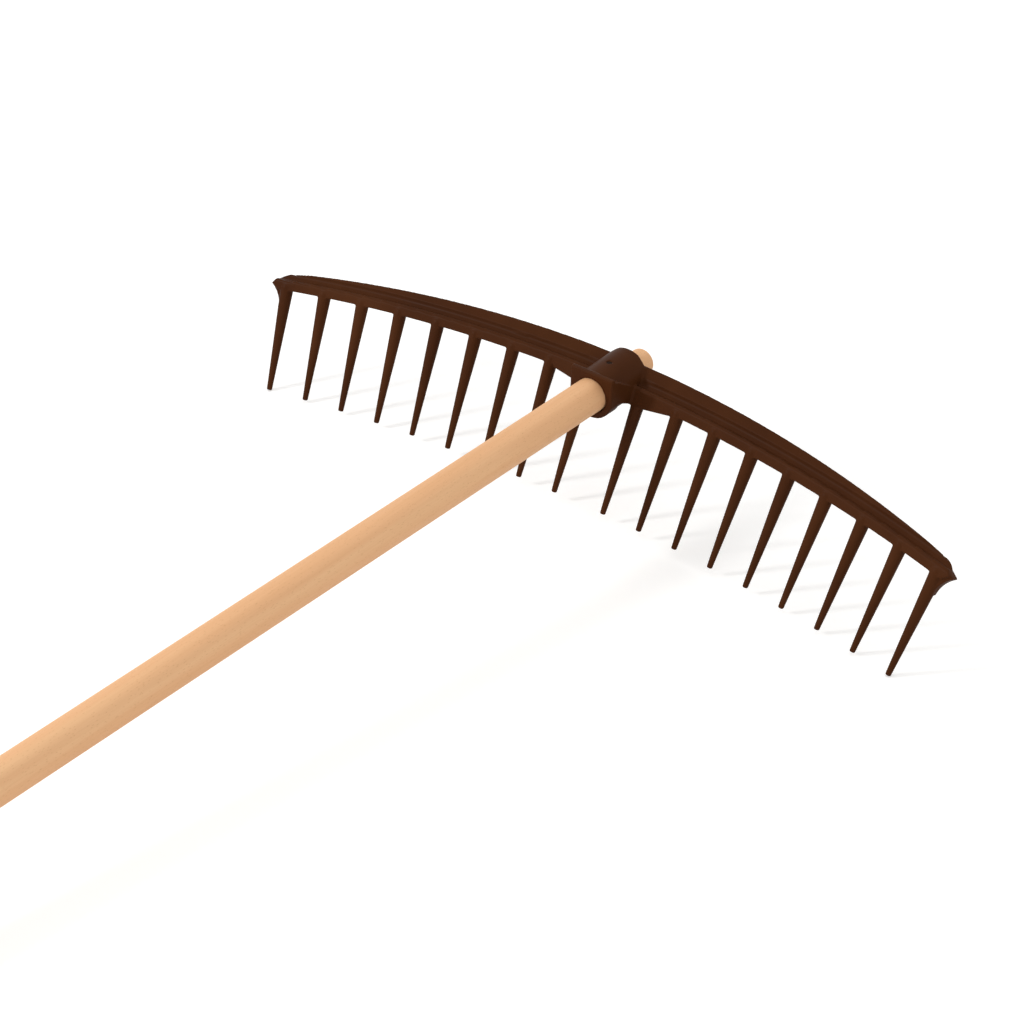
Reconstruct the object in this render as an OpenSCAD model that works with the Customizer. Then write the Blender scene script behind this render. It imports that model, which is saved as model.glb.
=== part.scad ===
// A plastic hay rake on a plain wooden handle, lying teeth down on a level floor.
// It rests on the tips of its two end teeth and on the butt of its handle.
// Millimetres. +Z is up, +Y runs from the grip to the head, +X is across the head.

/* [Handle] */
// diameter of the round handle
handle_d = 28; // [24:0.5:30]
// length of the handle from its butt to its nose
handle_len = 1500; // [900:10:1900]
// rounding of the butt's edge
butt_round = 6; // [2:0.5:10]
// diameter of the tapered nose at its very end
nose_end_d = 21.6; // [18:0.2:23]
// how far the nose stands out behind the socket
nose_out = 20.4; // [8:0.2:40]
// rounding of the nose's edge
nose_round = 2.5; // [1:0.5:4]
// how far in front of the socket's mouth the taper starts
taper_out = 1; // [1:0.5:10]
// room between the handle and the socket's bore, all round
handle_gap = 0.15; // [0.05:0.05:0.4]
// extra room under the handle at the socket's mouth
mouth_slack = 1.2; // [0:0.1:2]

/* [Socket] */
// length of the socket from its mouth to its rear rim
socket_len = 48.4; // [42:0.2:60]
// how far the mouth stands in front of the teeth's line, along the handle
mouth_out = 31; // [26:0.5:40]
// outside diameter of the socket at the mouth
socket_front_d = 37.4; // [36:0.2:40]
// outside diameter of the socket at its rear rim
socket_rear_d = 39.4; // [37:0.2:44]
// thickness of the collar plate round the mouth
collar_t = 4; // [2.5:0.5:7]
// width of the collar plate
collar_w = 39.8; // [38:0.2:46]
// height of the collar plate's flat top over the handle's axis
collar_top = 19.2; // [17:0.2:22]
// length of the square-sided block behind the collar plate
block_len = 9; // [4:0.5:14]
// height of that block's sides over the handle's axis
block_top = 12; // [6:0.5:15]
// radius of the hollow corners between the socket and the bar
corner_r = 2.5; // [1:0.5:6]

/* [Fixing nail] */
// distance of the nail from the socket's mouth
nail_from_mouth = 22.8; // [16:0.2:30]
// diameter of the nail's shank
nail_d = 2.6; // [2:0.1:3.4]
// length of the nail under its head
nail_len = 22; // [14:0.5:26]
// diameter of the nail's head
nail_head_d = 4.6; // [4:0.1:6]
// thickness of the nail's head
nail_head_t = 1; // [0.6:0.1:1.4]
// depth of the head's top below the socket's crest
nail_sunk = 0.8; // [0.4:0.1:1.2]
// room round the nail and its head
nail_gap = 0.1; // [0.05:0.05:0.3]

/* [Teeth] */
// angle of the teeth to the handle
tooth_angle = 65; // [60:0.5:75]
// spacing of the teeth along the bar
tooth_pitch = 36.5; // [30:0.1:40]
// spacing of the two middle teeth, on either side of the socket
middle_gap = 49.9; // [47:0.1:60]
// length of the middle teeth below the bar
tooth_len = 95.9; // [60:0.5:120]
// how much shorter the end teeth are
tooth_less = 11.5; // [0:0.5:20]
// turn of the end teeth towards the middle ones
tooth_turn = 3.2; // [0:0.1:6]
// diameter of a tooth's flat tip
tooth_tip_d = 4.5; // [3:0.1:6]
// diameter of a tooth at its root
tooth_root_d = 10.9; // [8:0.1:11.4]
// bevel round a tooth's tip
tip_bevel = 0.4; // [0.2:0.1:0.8]

/* [Bar] */
// radius of the bar's curve
bow_r = 1422; // [1100:1:2200]
// angle of the bar's plane to the handle
bar_angle = 29; // [24:0.5:34]
// distance of the curve's middle in front of the handle's axis, in the bar's plane
curve_front = 3.3; // [1:0.1:6]
// distance of the bar's plane below the handle's axis
curve_down = 6.5; // [4:0.1:9]
// radius of the bar's rear edge
rear_r = 1085; // [950:1:1350]
// depth of the bar's shelf behind the teeth's line, in the middle
shelf_depth = 24.5; // [21:0.5:30]
// thickness of the shelf
shelf_t = 4.6; // [3.5:0.1:6]
// height of the shelf's top over the curve
shelf_top = 6; // [5:0.1:7]
// height of the front web
web_h = 9.2; // [8:0.1:12]
// thickness of the front web
web_t = 5; // [4:0.1:6]
// how far the web's face stands in front of the teeth's line
web_front = 4.4; // [3.5:0.1:4.8]
// depth of the web below the curve
web_below = 0.7; // [0.3:0.1:2]
// width of the groove behind the web
groove_w = 8.2; // [6:0.1:9]
// depth of the groove
groove_deep = 2.8; // [1.5:0.1:3.2]
// how far each end of the bar runs past its end tooth
end_out = 15.5; // [12:0.5:20]
// rounding of the shelf's rear corners
end_round = 14; // [6:0.5:18]
// half the width of the bar's middle, which is made with the socket
middle_half = 55.8; // [50:0.1:55.9]
// how much deeper the web is beside the socket
deepen = 6; // [3:0.1:7]
// how much deeper it still is at the end of the bar's middle
deepen_end = 1.8; // [0.5:0.1:2.5]

/* [Hidden] */
$fn = 96;
plastic = "#4a2a1c";
wood = "#e0b48a";
steel = "#5a5a5e";
teeth = 18;
big = 400;
past = 1;

// the socket and the nose along the handle, from the teeth's line
mouth = -mouth_out;
rim = mouth + socket_len;
nose = rim + nose_out;
butt = nose - handle_len;
taper_from = mouth - taper_out;
nail_at = mouth + nail_from_mouth;
socket_r = function(s) socket_front_d / 2
  + (socket_rear_d - socket_front_d) / 2 * (s - mouth) / socket_len;
handle_r = function(s) s < taper_from ? handle_d / 2
  : handle_d / 2 + (nose_end_d - handle_d) / 2 * (s - taper_from) / (nose - taper_from);

// the teeth along the curve, as angles about its centre
web_angle = tooth_angle - bar_angle;
side = function(k) k > teeth / 2 ? 1 : -1;
steps = function(k) k > teeth / 2 ? k - teeth / 2 - 1 : teeth / 2 - k;
along = function(k) side(k) * (middle_gap / 2 + steps(k) * tooth_pitch);
turn_at = function(s) s / bow_r * 180 / PI;
end_arc = along(teeth);
share = function(k) along(k) / end_arc;
len_of = function(k) tooth_len - tooth_less * share(k) * share(k);
is_middle = function(k) k == teeth / 2 || k == teeth / 2 + 1;
under = function(k) is_middle(k) ? web_below + deepen : web_below;
whole_of = function(k) web_below + len_of(k);
tip_r = tooth_tip_d / 2;
root_r = tooth_root_d / 2;
tooth_r = function(k, z) tip_r + (root_r - tip_r) * (z + whole_of(k)) / whole_of(k);
foot_up = 1.5;
gusset_r = 25;
gusset_down = 16;
gusset_x = root_r + gusset_r - 0.4;
corner_top = 1.6;
plate_top = 7.5;
plate_behind = -1.5;
front_short = 3.5;
point_up = 3.2;
is_end = function(k) k == 1 || k == teeth;

// how the rake lies: the end tooth's tip and the butt on the floor
end_turn = turn_at(end_arc);
end_drop = web_below + len_of(teeth);
lean_out = end_drop * cos(tooth_turn);
lean_in = end_drop * sin(tooth_turn);
tip_bar_y = -curve_front - bow_r + (bow_r - lean_out * cos(web_angle)) * cos(end_turn)
  - lean_in * sin(end_turn);
tip_bar_z = -curve_down - lean_out * sin(web_angle);
tip_s = tip_bar_y * cos(bar_angle) - tip_bar_z * sin(bar_angle);
tip_u = tip_bar_y * sin(bar_angle) + tip_bar_z * cos(bar_angle);
tip_edge = tooth_tip_d / 2 - tip_bevel;
rest_s = tip_s + tip_edge * sin(tooth_angle);
rest_u = tip_u - tip_edge * cos(tooth_angle);
butt_s = butt + butt_round;
butt_u = -handle_d / 2;
lie = -atan((rest_u - butt_u) / (rest_s - butt_s));
lift = -(butt_s * sin(lie) + butt_u * cos(lie));
nose_y = nose * cos(lie) + (nose_end_d / 2 - nose_round) * sin(lie);
butt_y = butt * cos(lie) - (handle_d / 2 - butt_round) * sin(lie);
centre_y = (nose_y + butt_y) / 2;

// from the handle's own frame to the floor
module lying() {
  translate([0, -centre_y, lift])
    rotate([lie, 0, 0])
      children();
}

// into the plane of the bar's curve, with its centre on the axis
module bar_plane() {
  rotate([bar_angle, 0, 0])
    translate([0, -curve_front - bow_r, -curve_down])
      children();
}

// onto the front web at an angle along the curve, with z up the web and y out of its back
module on_web(turn) {
  bar_plane()
    rotate([0, 0, -turn])
      translate([0, bow_r, 0])
        rotate([web_angle - 90, 0, 0])
          children();
}

// a round bar along the handle, from one place to another
module along_handle(from, to, r1, r2) {
  translate([0, from, 0])
    rotate([-90, 0, 0])
      cylinder(h = to - from, r1 = r1, r2 = r2);
}

// outline of a turned piece, set up so that its length runs along the handle
module turned() {
  rotate([-90, 0, 0])
    rotate_extrude()
      children();
}

// the wooden handle, plain with a tapered nose and a nail hole
module handle() {
  r = handle_d / 2;
  r_nose = nose_end_d / 2;
  color(wood)
    lying()
      difference() {
        turned()
          union() {
            polygon([[0, butt], [r - butt_round, butt], [r, butt + butt_round],
              [r, taper_from], [r_nose, nose - nose_round],
              [r_nose - nose_round, nose], [0, nose]]);
            translate([r - butt_round, butt + butt_round])
              circle(r = butt_round);
            translate([r_nose - nose_round, nose - nose_round])
              circle(r = nose_round);
          }
        translate([0, nail_at, nail_tip_u - nail_gap])
          cylinder(h = handle_d, r = nail_d / 2 + nail_gap);
      }
}

// heights of the nail over the handle's axis
crest = socket_r(nail_at);
nail_head_top = crest - nail_sunk;
nail_neck = nail_head_top - nail_head_t;
nail_tip_u = nail_neck - nail_len;
nail_point = nail_d;

// the nail that holds the handle, with a flat head and a point
module fixing_nail() {
  color(steel)
    lying()
      translate([0, nail_at, nail_tip_u]) {
        cylinder(h = nail_point, r1 = nail_d / 8, r2 = nail_d / 2);
        translate([0, 0, nail_point])
          cylinder(h = nail_len - nail_point, r = nail_d / 2);
        translate([0, 0, nail_len])
          cylinder(h = nail_head_t, r = nail_head_d / 2);
      }
}

// the front web in section: out from the curve's centre and up
lip_r = web_t / 2;
lip_up = web_h - web_below - lip_r;
web_back = web_t - web_front;
face = function(up, out) [bow_r + up * cos(web_angle) + out * sin(web_angle),
  up * sin(web_angle) - out * cos(web_angle)];

// section of the web with its rounded lip
module web_section(below) {
  polygon([face(-below, -web_front), face(-below, web_back),
    face(lip_up, web_back), face(lip_up, -web_front)]);
  translate(face(lip_up, web_back - lip_r))
    circle(r = lip_r);
}

// a ring of the bar's curve between two places along it
module ring(half) {
  rotate([0, 0, 90 - turn_at(half)])
    rotate_extrude(angle = 2 * turn_at(half), $fn = 360)
      children();
}

// how far the bar reaches to each side
bar_half = end_arc + end_out;
end_trim = 3;
shelf_half = bow_r * sin(turn_at(bar_half)) - end_trim;
shelf_bottom = shelf_top - shelf_t;
shelf_front = face(shelf_bottom / sin(web_angle), 0)[0];
groove_at = face(lip_up, web_back - lip_r)[0] + groove_w / 2 + lip_r * 0.7;
groove_r = (groove_w * groove_w / 4 + groove_deep * groove_deep) / (2 * groove_deep);

// plan of the shelf: the web's curve in front, a tighter curve behind, rounded corners
module shelf_plan() {
  rear_mid = bow_r + shelf_depth;
  offset_y = rear_mid - rear_r;
  corner_x = shelf_half - end_round;
  corner_y = offset_y + sqrt(pow(rear_r - end_round, 2) - corner_x * corner_x);
  difference() {
    intersection() {
      translate([0, offset_y])
        circle(r = rear_r, $fn = 720);
      union() {
        translate([-corner_x, 0])
          square([2 * corner_x, rear_mid + past]);
        translate([-shelf_half, 0])
          square([2 * shelf_half, corner_y]);
        translate([corner_x, corner_y])
          circle(r = end_round);
        translate([-corner_x, corner_y])
          circle(r = end_round);
      }
    }
    circle(r = shelf_front, $fn = 720);
  }
}

// the shelf with its groove
module shelf() {
  difference() {
    translate([0, 0, shelf_bottom])
      linear_extrude(shelf_t)
        shelf_plan();
    ring(bar_half + past)
      translate([groove_at, shelf_top - groove_deep + groove_r])
        circle(r = groove_r);
  }
}

// onto one tooth, with z up its length and x across the head
module on_tooth(k) {
  on_web(turn_at(along(k)))
    rotate([0, -tooth_turn * share(k), 0])
      children();
}

// what is cut from the end of the web and the shelf
module end_cut(k) {
  dir = side(k);
  far = 3 * end_out;
  edge = end_out - front_short;
  on_web(turn_at(along(k)))
    translate([0, web_back + past, 0])
      rotate([90, 0, 0])
        linear_extrude(2 * web_t)
          union() {
            polygon([[dir * (edge - 3), far], [dir * (edge - 3), web_h - 1],
              [dir * edge, lip_up - 1], [dir * edge, -far],
              [dir * far, -far], [dir * far, far]]);
            translate([dir * (gusset_x - front_short), -gusset_down])
              circle(r = gusset_r);
          }
}

// outline of the pointed plate at the bar's end, with its hollow edge down to the end tooth
module end_outline(k) {
  dir = side(k);
  difference() {
    polygon([[0, -gusset_down], [0, plate_top], [dir * end_out / 2, plate_top],
      [dir * (end_out - 2), point_up + 1.5], [dir * end_out, point_up],
      [dir * end_out, -gusset_down]]);
    translate([dir * gusset_x, -gusset_down])
      circle(r = gusset_r);
  }
}

// stands that plate up behind the web's face, between two heights
module end_plate(k, low, high) {
  on_web(turn_at(along(k)))
    translate([0, plate_behind + web_t + 2, 0])
      rotate([90, 0, 0])
        linear_extrude(web_t + 2)
          intersection() {
            end_outline(k);
            translate([-2 * end_out, low])
              square([4 * end_out, high - low]);
          }
}

// the front web on one side of the socket, straight along its short run and deeper
module middle_web(dir) {
  from = turn_at(collar_w / 4);
  to = turn_at(middle_half);
  mid = (from + to) / 2;
  half_turn = (to - from) / 2;
  run = bow_r * sin(half_turn);
  inset = bow_r - bow_r * cos(half_turn);
  deep = web_below + deepen;
  slope = middle_half - middle_gap / 2 - root_r;
  difference() {
    bar_plane()
      rotate([0, 0, -dir * mid])
        translate([-run - past, -inset, 0])
          rotate([90, 0, 90])
            linear_extrude(2 * run + 2 * past)
              web_section(deep);
    bar_plane()
      rotate([0, 0, -dir * mid])
        translate([0, bow_r - inset, 0])
          rotate([web_angle - 90, 0, 0])
            translate([0, 2 * web_t, 0])
              rotate([90, 0, 0])
                linear_extrude(4 * web_t)
                  polygon([[dir * (run - slope), -deep - past], [dir * (run - slope), -deep],
                    [dir * run, -web_below - deepen_end],
                    [dir * (run + 2 * past), -web_below - deepen_end],
                    [dir * (run + 2 * past), -deep - past]]);
  }
}

// hollow corners between the socket's sides and the web, sloping down to the web's lip
module corners() {
  reach = collar_w / 2 + corner_r;
  near = -web_front - corner_r;
  start = -web_front - mouth_out;
  deep = web_below + deepen;
  front = mouth + collar_t + block_len - past;
  intersection() {
    on_web(0)
      translate([0, 0, -deep])
        linear_extrude(2 * deep + block_top)
          difference() {
            translate([-reach, start])
              square([2 * reach, mouth_out + web_t / 2]);
            for (dir = [-1, 1]) {
              translate([dir * reach, near])
                circle(r = corner_r);
              translate([dir > 0 ? collar_w / 2 : -reach - past, start - past])
                square([corner_r + past, near - start + past]);
            }
          }
    translate([-reach - past, 0, 0])
      rotate([90, 0, 90])
        linear_extrude(2 * reach + 2 * past)
          polygon([[front, -deep - block_top], [front, block_top + 0.5], [-1, corner_top],
            [web_t, corner_top], [web_t, -deep - block_top]]);
  }
}

// outline of the collar across the handle: square shoulders, round below
module collar_outline(top) {
  r = collar_w / 2;
  circle(r = r);
  translate([-r, 0])
    square([collar_w, top]);
}

// the square-sided block behind the collar, with shoulders that slope down from it
module shoulders() {
  from = mouth + collar_t;
  to = from + block_len;
  top = collar_top - 2;
  intersection() {
    across(from, to)
      collar_outline(top);
    translate([-collar_w, 0, 0])
      rotate([90, 0, 90])
        linear_extrude(2 * collar_w)
          polygon([[from - past, -collar_w], [from - past, top], [from, top],
            [to + past, block_top], [to + past, -collar_w]]);
  }
}

// stands an outline across the handle
module across(from, to) {
  translate([0, to, 0])
    rotate([90, 0, 0])
      linear_extrude(to - from)
        children();
}

// a box that keeps what lies within the middle of the bar
module middle_box() {
  translate([-middle_half, -big / 2, -big / 2])
    cube([2 * middle_half, big, big]);
}

// the socket with its collar and the middle of the bar
module socket() {
  color(plastic)
    lying()
      difference() {
        union() {
          intersection() {
            union() {
              middle_web(-1);
              middle_web(1);
              bar_plane()
                shelf();
            }
            middle_box();
          }
          corners();
          along_handle(mouth, rim, socket_front_d / 2, socket_rear_d / 2);
          across(mouth, mouth + collar_t)
            intersection() {
              collar_outline(collar_top);
              translate([-collar_w / 2, -collar_w / 2])
                square([collar_w, collar_w / 2 + collar_top]);
            }
          shoulders();
        }
        bore();
        translate([0, nail_at, 0])
          cylinder(h = big, r = nail_d / 2 + nail_gap);
        translate([0, nail_at, nail_neck - nail_gap])
          cylinder(h = big, r = nail_head_d / 2 + nail_gap);
      }
}

// the bore that the handle is driven into
module bore() {
  translate([0, 0, -mouth_slack])
    along_handle(mouth - past, mouth + collar_t, handle_d / 2 + handle_gap,
      handle_d / 2 + handle_gap);
  along_handle(taper_from, nose, handle_d / 2 + handle_gap, nose_end_d / 2 + handle_gap);
}

// the right side of the bar, from the socket's middle part to its pointed end
module bar_side() {
  color(plastic)
    lying() {
      difference() {
        bar_plane() {
          ring(bar_half + past)
            web_section(web_below);
          shelf();
        }
        middle_box();
        translate([-big, -big / 2, -big / 2])
          cube([big, big, big]);
        end_cut(teeth);
      }
      end_plate(teeth, -web_below, plate_top);
    }
}

module bar_left() {
  mirror([1, 0, 0])
    bar_side();
}

module bar_right() {
  bar_side();
}

// a tooth and its domed root, which straddles the web and ends below the shelf
module tooth(k) {
  whole = whole_of(k);
  r = tooth_r(k, foot_up);
  wide = tooth_root_d;
  ahead = is_middle(k) ? wide : web_front;
  color(plastic)
    lying()
      difference() {
        on_tooth(k)
          rotate_extrude()
            union() {
              polygon([[0, -whole], [tip_r - tip_bevel, -whole], [tip_r, -whole + tip_bevel],
                [r, foot_up], [0, foot_up]]);
              intersection() {
                translate([0, foot_up])
                  circle(r = r);
                translate([0, foot_up - past])
                  square([r, r + past]);
              }
            }
        on_web(turn_at(along(k)))
          translate([-wide, -ahead, -under(k)])
            cube([2 * wide, ahead + web_back, 2 * wide]);
        bar_plane()
          rotate([0, 0, -turn_at(along(k))])
            translate([-wide, shelf_front, shelf_bottom])
              cube([2 * wide, 2 * wide, 2 * wide]);
        if (is_end(k))
          on_web(turn_at(along(k)))
            translate([-wide, 0, -web_below])
              cube([2 * wide, wide, 2 * wide]);
      }
}

// an end tooth with the hollow-edged plate on its outer side
module end_tooth(k) {
  tooth(k);
  color(plastic)
    lying()
      end_plate(k, -gusset_down, -web_below);
}

handle();
socket();
bar_left();
bar_right();
fixing_nail();
end_tooth(1);  // tooth_01
tooth(2);  // tooth_02
tooth(3);  // tooth_03
tooth(4);  // tooth_04
tooth(5);  // tooth_05
tooth(6);  // tooth_06
tooth(7);  // tooth_07
tooth(8);  // tooth_08
tooth(9);  // tooth_09
tooth(10);  // tooth_10
tooth(11);  // tooth_11
tooth(12);  // tooth_12
tooth(13);  // tooth_13
tooth(14);  // tooth_14
tooth(15);  // tooth_15
tooth(16);  // tooth_16
tooth(17);  // tooth_17
end_tooth(18);  // tooth_18
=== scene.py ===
"""A hay rake with a moulded plastic head and a plain beech handle, lying teeth down on a floor."""

import math

import bmesh
import bpy
from mathutils import Euler, Matrix, Vector


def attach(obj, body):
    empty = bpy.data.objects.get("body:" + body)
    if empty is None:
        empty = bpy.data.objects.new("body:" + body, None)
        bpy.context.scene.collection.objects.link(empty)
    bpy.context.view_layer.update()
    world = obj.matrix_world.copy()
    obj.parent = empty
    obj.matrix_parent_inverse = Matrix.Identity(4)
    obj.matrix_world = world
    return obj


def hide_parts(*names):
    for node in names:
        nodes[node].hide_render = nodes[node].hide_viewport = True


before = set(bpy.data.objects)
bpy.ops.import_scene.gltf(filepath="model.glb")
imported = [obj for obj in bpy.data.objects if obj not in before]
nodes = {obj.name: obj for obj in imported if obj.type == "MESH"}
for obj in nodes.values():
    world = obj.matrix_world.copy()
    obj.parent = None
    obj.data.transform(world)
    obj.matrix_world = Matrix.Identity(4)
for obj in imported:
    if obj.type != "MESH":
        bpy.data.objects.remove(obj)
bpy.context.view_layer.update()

# The head is one moulding of brown polypropylene: a socket with its collar, a curved bar with a
# lip, a groove and a shelf, and eighteen teeth. They run into each other with small soft corners.
# It comes out of its mould in one piece, and is driven onto the handle.
MM = 0.001
HANDLE_RISE = math.radians(3.6095)
TEETH_LINE = Vector((0.0, 0.710778, 0.105649))
# Y runs along the handle from the grip to the head, from where the line of the teeth crosses it.
RISEN = Euler((HANDLE_RISE, 0.0, 0.0)).to_matrix().to_4x4()
RAKE = Matrix.Translation(TEETH_LINE) @ RISEN
BAR_NODES = ("socket", "bar_left", "bar_right")
HEAD_NODES = sorted(n for n in nodes if n in BAR_NODES or n.startswith("tooth_"))

# How the moulding's mesh is made: the size of its cells in millimetres, the rounds of easing, and
# the share of faces that is kept.
CELL = 0.5
EASE_ROUNDS = 12
COVE_ROUNDS = 120
EASE_STEP = 0.5
KEPT_FACES = 0.19

# Where the soft cove between socket and shelf lies, in millimetres in the rake's own frame: where
# its easing starts, is full, starts to fade and ends.
COVE_ACROSS = (9.0, 13.0, 27.0, 34.0)
COVE_AWAY = (5.0, 8.0, 16.0, 19.0)
COVE_RISE = (0.0, 2.0, 18.0, 21.0)

# The inputs of a mix of two colours, which share their names with other inputs.
FACTOR, COLOUR_A, COLOUR_B = 0, 6, 7


def linear(hex_colour):
    """A colour written as it looks on a screen, as the shader takes it."""
    parts = [int(hex_colour[i : i + 2], 16) / 255 for i in (1, 3, 5)]
    return tuple(c / 12.92 if c <= 0.04045 else ((c + 0.055) / 1.055) ** 2.4 for c in parts) + (1.0,)


def new_material(name):
    """An empty material with its principled shader, as (material, tree, shader)."""
    material = bpy.data.materials.new(name)
    material.use_nodes = True
    tree = material.node_tree
    return material, tree, tree.nodes["Principled BSDF"]


def add(tree, kind, settings=None, inputs=None, stops=None):
    """Adds a node. An input takes a value or another node's output, a ramp its inner stops."""
    node = tree.nodes.new(kind)
    for key, value in (settings or {}).items():
        setattr(node, key, value)
    for key, value in (inputs or {}).items():
        if isinstance(value, bpy.types.NodeSocket):
            tree.links.new(value, node.inputs[key])
        else:
            node.inputs[key].default_value = value
    if stops:
        cells = node.color_ramp.elements
        for place, colour in stops:
            cells.new(place).color = colour
        cells.remove(cells[0])
        cells.remove(cells[-1])
    return node


# Polypropylene straight from the mould: a warm dark brown with a satin skin, clouded in patches
# of about 70 mm. The skin's grit is drawn about 1 mm wide, coarser than the real one, to show.
def moulded_polypropylene():
    material, tree, shader = new_material("brown moulded polypropylene")
    place = add(tree, "ShaderNodeTexCoord").outputs["Object"]
    cloud = add(
        tree,
        "ShaderNodeTexNoise",
        inputs={"Vector": place, "Scale": 14.0, "Detail": 4.0, "Roughness": 0.55},
    ).outputs["Fac"]
    grit = add(
        tree,
        "ShaderNodeTexNoise",
        inputs={"Vector": place, "Scale": 900.0, "Detail": 3.0, "Roughness": 0.6},
    ).outputs["Fac"]
    brown = add(
        tree,
        "ShaderNodeValToRGB",
        inputs={"Fac": cloud},
        stops=[(0.30, linear("#402211")), (0.52, linear("#452512")), (0.72, linear("#4C2A15"))],
    )
    dust = add(
        tree,
        "ShaderNodeMapRange",
        inputs={"Value": grit, "From Min": 0.45, "From Max": 0.8, "To Min": 0.0, "To Max": 0.1},
    )
    skin = add(
        tree,
        "ShaderNodeMix",
        {"data_type": "RGBA"},
        {FACTOR: dust.outputs[0], COLOUR_A: brown.outputs[0], COLOUR_B: linear("#5E3A22")},
    ).outputs[2]
    tree.links.new(skin, shader.inputs["Base Color"])

    dull = add(
        tree,
        "ShaderNodeMapRange",
        inputs={"Value": cloud, "From Min": 0.3, "From Max": 0.7, "To Min": 0.34, "To Max": 0.44},
    )
    tree.links.new(dull.outputs[0], shader.inputs["Roughness"])
    bump = add(
        tree,
        "ShaderNodeBump",
        inputs={"Height": grit, "Strength": 0.12, "Distance": 0.15 * MM},
    )
    tree.links.new(bump.outputs[0], shader.inputs["Normal"])
    shader.inputs["Specular IOR Level"].default_value = 0.03
    return material


def finish_piece(obj, name, material):
    """Names a piece, gives it one material and lets it ride with the rake."""
    obj.name = name
    obj.data.materials.clear()
    obj.data.materials.append(material)
    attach(obj, "root")
    return obj


def keep_mesh(obj):
    """Puts the result of a piece's modifiers into its mesh."""
    graph = bpy.context.evaluated_depsgraph_get()
    mesh = bpy.data.meshes.new_from_object(obj.evaluated_get(graph))
    obj.modifiers.clear()
    obj.data = mesh


def window(value, start, full, fade, end):
    """Rises from 0 to 1 between start and full, and falls back to 0 between fade and end."""
    rise = (value - start) / (full - start)
    fall = (end - value) / (end - fade)
    return max(0.0, min(1.0, rise, fall))


def moulded_head():
    """The head's solids grown together, eased, and hollowed where the socket meets the shelf."""
    joined = bmesh.new()
    for name in HEAD_NODES:
        joined.from_mesh(nodes[name].data)
    mesh = bpy.data.meshes.new("moulded_head")
    joined.to_mesh(mesh)
    joined.free()
    head = bpy.data.objects.new("moulded_head", mesh)
    bpy.context.scene.collection.objects.link(head)
    grow = head.modifiers.new("grow", "REMESH")
    grow.mode = "VOXEL"
    grow.voxel_size = CELL * MM
    ease = head.modifiers.new("ease", "SMOOTH")
    ease.factor = EASE_STEP
    ease.iterations = EASE_ROUNDS
    keep_mesh(head)
    flank = head.vertex_groups.new(name="flank")
    to_rake = RAKE.inverted()
    for vertex in head.data.vertices:
        across, away, rise = (to_rake @ vertex.co) / MM
        strength = window(abs(across), *COVE_ACROSS) * window(away, *COVE_AWAY)
        strength *= window(rise, *COVE_RISE)
        if strength > 0.0:
            flank.add([vertex.index], strength, "REPLACE")
    cove = head.modifiers.new("cove", "SMOOTH")
    cove.vertex_group = "flank"
    cove.factor = EASE_STEP
    cove.iterations = COVE_ROUNDS
    thin = head.modifiers.new("thin", "DECIMATE")
    thin.ratio = KEPT_FACES
    keep_mesh(head)
    for face in head.data.polygons:
        face.use_smooth = True
    return head


head = finish_piece(moulded_head(), "moulded_head", moulded_polypropylene())
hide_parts(*HEAD_NODES)

# The handle is turned beech: a long plain stave, its butt rounded over, its nose tapered and
# rounded where it comes out behind the socket. It is driven into the socket and nailed.
HANDLE_R = 14.0
BUTT = -1462.2
NOSE = 37.8
NOSE_R = 10.8
NOSE_ROUND = 2.5
BUTT_ROUND = 6.0
TAPER_FROM = -32.0
SIDES = 96
STAVE_RINGS = 90
TAPER_RINGS = 12
ROUND_RINGS = 8


# Sanded beech, bare: pale pinkish tan with faint bands about 14 mm wide along the grain, fibres
# 1 mm wide and 45 mm long, and the darker flecks, 1 mm by 5 mm, that beech shows on every face.
# Fibres and flecks are drawn wider than the real ones, to show.
def beech():
    material, tree, shader = new_material("sanded beech")
    place = add(tree, "ShaderNodeTexCoord").outputs["Object"]
    patterns = []
    for scale, kind, settings in (
        ((74.0, 1.8, 74.0), "ShaderNodeTexNoise", {"Detail": 5.0, "Distortion": 0.35}),
        ((900.0, 22.0, 900.0), "ShaderNodeTexNoise", {"Detail": 3.0, "Roughness": 0.6}),
        ((1100.0, 210.0, 1100.0), "ShaderNodeTexVoronoi", {"Randomness": 1.0}),
    ):
        drawn = add(tree, "ShaderNodeMapping", inputs={"Vector": place, "Scale": scale})
        taken = {"Vector": drawn.outputs[0], "Scale": 1.0, **settings}
        patterns.append(add(tree, kind, inputs=taken).outputs[0])
    band, fibre, fleck = patterns
    colour = add(
        tree,
        "ShaderNodeValToRGB",
        inputs={"Fac": band},
        stops=[(0.28, linear("#E6AE7B")), (0.50, linear("#EDB786")), (0.74, linear("#F3C392"))],
    ).outputs[0]
    for pattern, low, high, most, tint in (
        (fibre, 0.35, 0.65, 0.14, "#D8A474"),
        (fleck, 0.10, 0.24, 0.45, "#C48C58"),
    ):
        amount = add(
            tree,
            "ShaderNodeMapRange",
            inputs={"Value": pattern, "From Min": low, "From Max": high, "To Min": most, "To Max": 0.0},
        )
        colour = add(
            tree,
            "ShaderNodeMix",
            {"data_type": "RGBA"},
            {FACTOR: amount.outputs[0], COLOUR_A: colour, COLOUR_B: linear(tint)},
        ).outputs[2]
    tree.links.new(colour, shader.inputs["Base Color"])
    smooth = add(
        tree,
        "ShaderNodeMapRange",
        inputs={"Value": fibre, "From Min": 0.3, "From Max": 0.7, "To Min": 0.62, "To Max": 0.48},
    )
    tree.links.new(smooth.outputs[0], shader.inputs["Roughness"])
    bump = add(
        tree,
        "ShaderNodeBump",
        inputs={"Height": fibre, "Strength": 0.25, "Distance": 0.08 * MM},
    )
    tree.links.new(bump.outputs[0], shader.inputs["Normal"])
    shader.inputs["Specular IOR Level"].default_value = 0.35
    return material


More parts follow.
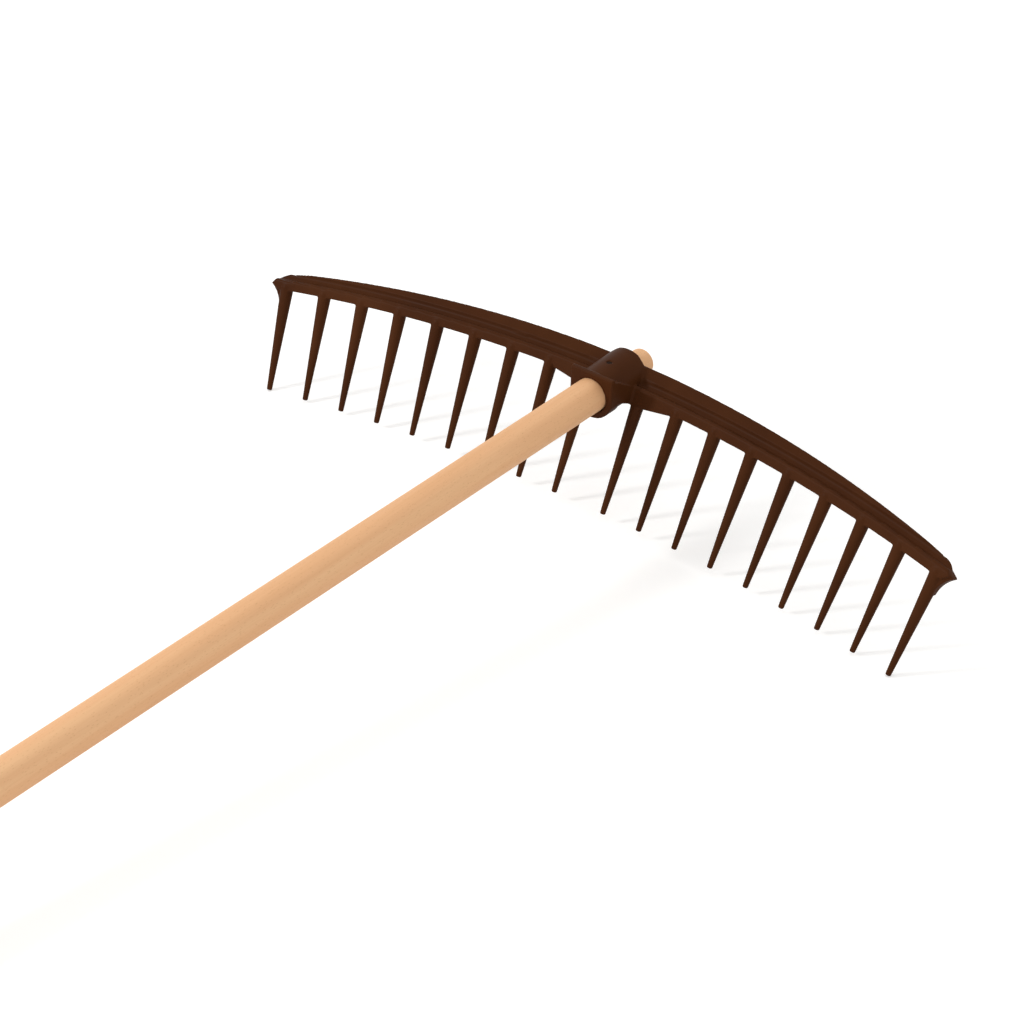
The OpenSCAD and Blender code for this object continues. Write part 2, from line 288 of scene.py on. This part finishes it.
def rounding(place, radius, size, way):
    """A quarter round at an end of the stave, from its face outward to its side."""
    points = [(place, radius - size)]
    for i in range(1, ROUND_RINGS + 1):
        turn = math.pi / 2 / ROUND_RINGS * i
        points.append(
            (place + way * size * (1 - math.cos(turn)), radius - size * (1 - math.sin(turn)))
        )
    return points


def handle_profile():
    """(place along the handle, radius) from the butt's centre to the nose's centre, in mm."""
    start = BUTT + BUTT_ROUND
    end = NOSE - NOSE_ROUND
    body = [
        (start + (TAPER_FROM - start) * i / STAVE_RINGS, HANDLE_R)
        for i in range(1, STAVE_RINGS + 1)
    ]
    taper = [
        (
            TAPER_FROM + (end - TAPER_FROM) * i / TAPER_RINGS,
            HANDLE_R + (NOSE_R - HANDLE_R) * i / TAPER_RINGS,
        )
        for i in range(1, TAPER_RINGS)
    ]
    butt_edge = rounding(BUTT, HANDLE_R, BUTT_ROUND, 1)
    nose_edge = rounding(NOSE, NOSE_R, NOSE_ROUND, -1)
    return [(BUTT, 0.0)] + butt_edge + body + taper + nose_edge[::-1] + [(NOSE, 0.0)]


def turned_mesh(name, profile):
    """A piece turned about its own Y axis from (place, radius) points in mm."""
    shape = bmesh.new()
    rows = []
    for place, radius in profile:
        count = SIDES if radius > 0.0 else 1
        turns = [2 * math.pi * i / count for i in range(count)]
        rows.append(
            [
                shape.verts.new((radius * MM * math.cos(t), place * MM, radius * MM * math.sin(t)))
                for t in turns
            ]
        )
    for near, far in zip(rows, rows[1:]):
        for i in range(SIDES):
            start, end = near[i % len(near)], near[(i + 1) % len(near)]
            corners = [end, start, far[i % len(far)], far[(i + 1) % len(far)]]
            # a row of one point gives a triangle
            shape.faces.new(list(dict.fromkeys(corners)))
    bmesh.ops.recalc_face_normals(shape, faces=shape.faces)
    for face in shape.faces:
        face.smooth = True
    mesh = bpy.data.meshes.new(name)
    shape.to_mesh(mesh)
    shape.free()
    return mesh


stave = bpy.data.objects.new("handle_stave", turned_mesh("handle_stave", handle_profile()))
bpy.context.scene.collection.objects.link(stave)
stave.matrix_world = RAKE
finish_piece(stave, "handle_stave", beech())
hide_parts("handle")


# The fixing nail is a plain wire nail, driven through the socket's crest into the wood until its
# head sits just below the plastic. It keeps its exact solid.
# Drawn steel, dark and dull: the photograph shows only a dark dot where it is.
def nail_steel():
    material, tree, shader = new_material("dark drawn steel")
    place = add(tree, "ShaderNodeTexCoord").outputs["Object"]
    rust = add(tree, "ShaderNodeTexNoise", inputs={"Vector": place, "Scale": 700.0, "Detail": 4.0})
    colour = add(
        tree,
        "ShaderNodeValToRGB",
        inputs={"Fac": rust.outputs[0]},
        stops=[(0.4, linear("#24160F")), (0.65, linear("#301E13"))],
    )
    tree.links.new(colour.outputs[0], shader.inputs["Base Color"])
    shader.inputs["Metallic"].default_value = 0.2
    shader.inputs["Roughness"].default_value = 0.75
    shader.inputs["Specular IOR Level"].default_value = 0.1
    return material


finish_piece(nodes["fixing_nail"], "fixing_nail", nail_steel())

# The floor is a plain pale studio sheet that takes the rake's soft shadow. Seen by the camera it
# is lifted a little towards the white surround.
FLOOR_HALF = 6.0
FLOOR_LIFT = 0.32
floor_ways = ((-1, -1), (1, -1), (1, 1), (-1, 1))
floor_corners = [(FLOOR_HALF * x, FLOOR_HALF * y, 0.0) for x, y in floor_ways]
floor_mesh = bpy.data.meshes.new("floor")
floor_mesh.from_pydata(floor_corners, [], [(0, 1, 2, 3)])
floor = bpy.data.objects.new("floor", floor_mesh)
bpy.context.scene.collection.objects.link(floor)
sheet, sheet_tree, sheet_shader = new_material("pale studio floor")
sheet_shader.inputs["Base Color"].default_value = linear("#F4F3F1")
sheet_shader.inputs["Roughness"].default_value = 0.9
glow = add(
    sheet_tree,
    "ShaderNodeEmission",
    inputs={"Color": linear("#FFFFFF"), "Strength": FLOOR_LIFT},
)
lifted = add(
    sheet_tree,
    "ShaderNodeAddShader",
    inputs={0: sheet_shader.outputs[0], 1: glow.outputs[0]},
)
floor_rays = add(sheet_tree, "ShaderNodeLightPath")
seen = add(
    sheet_tree,
    "ShaderNodeMixShader",
    inputs={
        0: floor_rays.outputs["Is Camera Ray"],
        1: sheet_shader.outputs[0],
        2: lifted.outputs[0],
    },
)
sheet_tree.links.new(seen.outputs[0], sheet_tree.nodes["Material Output"].inputs["Surface"])
floor_mesh.materials.append(sheet)

# The surround is a white room: white where the camera or a shiny surface sees it, and a plain
# soft light for the rest.
ROOM_LIGHT = 0.8
world = bpy.data.worlds.new("studio")
bpy.context.scene.world = world
world.use_nodes = True
sky = world.node_tree
soft = sky.nodes["Background"]
soft.inputs["Color"].default_value = linear("#FFFFFF")
soft.inputs["Strength"].default_value = ROOM_LIGHT
white = add(sky, "ShaderNodeBackground", inputs={"Color": linear("#FFFFFF"), "Strength": 1.0})
sky_rays = add(sky, "ShaderNodeLightPath")
direct = sky_rays.outputs["Is Camera Ray"]
for ray in ("Is Glossy Ray", "Is Transmission Ray"):
    direct = add(
        sky, "ShaderNodeMath", {"operation": "MAXIMUM"}, {0: direct, 1: sky_rays.outputs[ray]}
    ).outputs[0]
both = add(
    sky, "ShaderNodeMixShader", inputs={0: direct, 1: soft.outputs[0], 2: white.outputs[0]}
)
sky.links.new(both.outputs[0], sky.nodes["World Output"].inputs["Surface"])

# One soft lamp stands in front and to the left, above the grip.
LAMP_SIZE = 0.3
LAMP_WATTS = 22.0
LAMP_PLACE = (-1.4, -1.2, 1.35)
LAMP_TARGET = Vector((0.0, 0.7, 0.1))
lamp_data = bpy.data.lights.new("front_lamp", "AREA")
lamp_data.size = LAMP_SIZE
lamp_data.energy = LAMP_WATTS
lamp = bpy.data.objects.new("front_lamp", lamp_data)
bpy.context.scene.collection.objects.link(lamp)
lamp.location = LAMP_PLACE
aim = LAMP_TARGET - lamp.location
lamp.rotation_euler = aim.to_track_quat("-Z", "Y").to_euler()

# The camera stands to the right of the grip and above it, looking down at the head.
# Its place, its turn and its lens come from the fit to the photograph.
CAMERA_PLACE = (1.14981, -0.98474, 1.20384)
CAMERA_RIGHT = (0.782387, 0.619417, 0.064751)
CAMERA_BACK = (0.506150, -0.692987, 0.513402)
CAMERA_LENS = 105.21
CAMERA_SENSOR = 36.0
camera_data = bpy.data.cameras.new("camera")
camera_data.sensor_width = CAMERA_SENSOR
camera_data.lens = CAMERA_LENS
camera = bpy.data.objects.new("camera", camera_data)
bpy.context.scene.collection.objects.link(camera)
right = Vector(CAMERA_RIGHT).normalized()
back = Vector(CAMERA_BACK).normalized()
up = back.cross(right).normalized()
turned = Matrix((right, up, back)).transposed().to_4x4()
camera.matrix_world = Matrix.Translation(CAMERA_PLACE) @ turned
bpy.context.scene.camera = camera
bpy.context.scene.view_settings.view_transform = "Standard"
